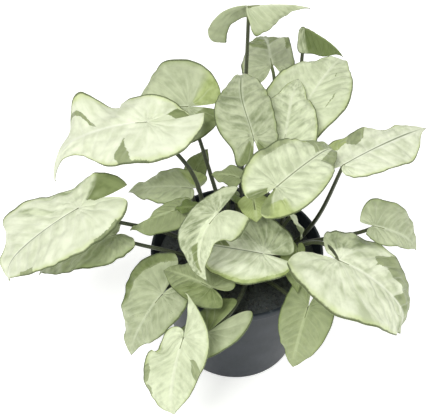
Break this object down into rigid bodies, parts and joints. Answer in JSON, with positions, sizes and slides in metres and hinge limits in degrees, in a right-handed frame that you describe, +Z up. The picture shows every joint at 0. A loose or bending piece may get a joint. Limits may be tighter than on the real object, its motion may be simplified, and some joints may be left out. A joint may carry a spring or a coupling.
{
  "type": "potted arrowhead plant",
  "caption": "Potted arrowhead plant: pale heart-shaped leaves on thin arching stalks, rising from a round tapered nursery pot.",
  "frame": {"origin": "centre of the pot's flat base, on the surface that the pot stands on", "axes": "+Z up along the pot's axis; looking along +Y shows the front of the plant, with +X to the right"},
  "size_m": [0.3557, 0.3773, 0.3049],
  "materials": {
    "pot_plastic": "satin",
    "potting_mix": "rough",
    "stem_green": "satin",
    "leaf_cream": "satin"
  },
  "bodies": {
    "root": {"pot": "pot_plastic", "potting_mix": "potting_mix", "stem_1": "stem_green", "stem_2": "stem_green", "stem_3": "stem_green", "stem_4": "stem_green", "stem_5": "stem_green", "leaf_01": "leaf_cream", "leaf_02": "leaf_cream", "leaf_03": "leaf_cream", "leaf_04": "leaf_cream", "leaf_05": "leaf_cream", "leaf_06": "leaf_cream", "leaf_07": "leaf_cream", "leaf_08": "leaf_cream", "leaf_09": "leaf_cream", "leaf_10": "leaf_cream", "leaf_11": "leaf_cream", "leaf_12": "leaf_cream", "leaf_13": "leaf_cream", "leaf_14": "leaf_cream", "leaf_15": "leaf_cream", "leaf_16": "leaf_cream", "leaf_17": "leaf_cream", "leaf_18": "leaf_cream", "leaf_19": "leaf_cream", "leaf_20": "leaf_cream", "leaf_21": "leaf_cream", "leaf_22": "leaf_cream", "leaf_23": "leaf_cream", "leaf_24": "leaf_cream", "leaf_25": "leaf_cream", "leaf_26": "leaf_cream", "leaf_27": "leaf_cream", "leaf_28": "leaf_cream", "leaf_29": "leaf_cream", "leaf_30": "leaf_cream"}
  },
  "joints": []
}
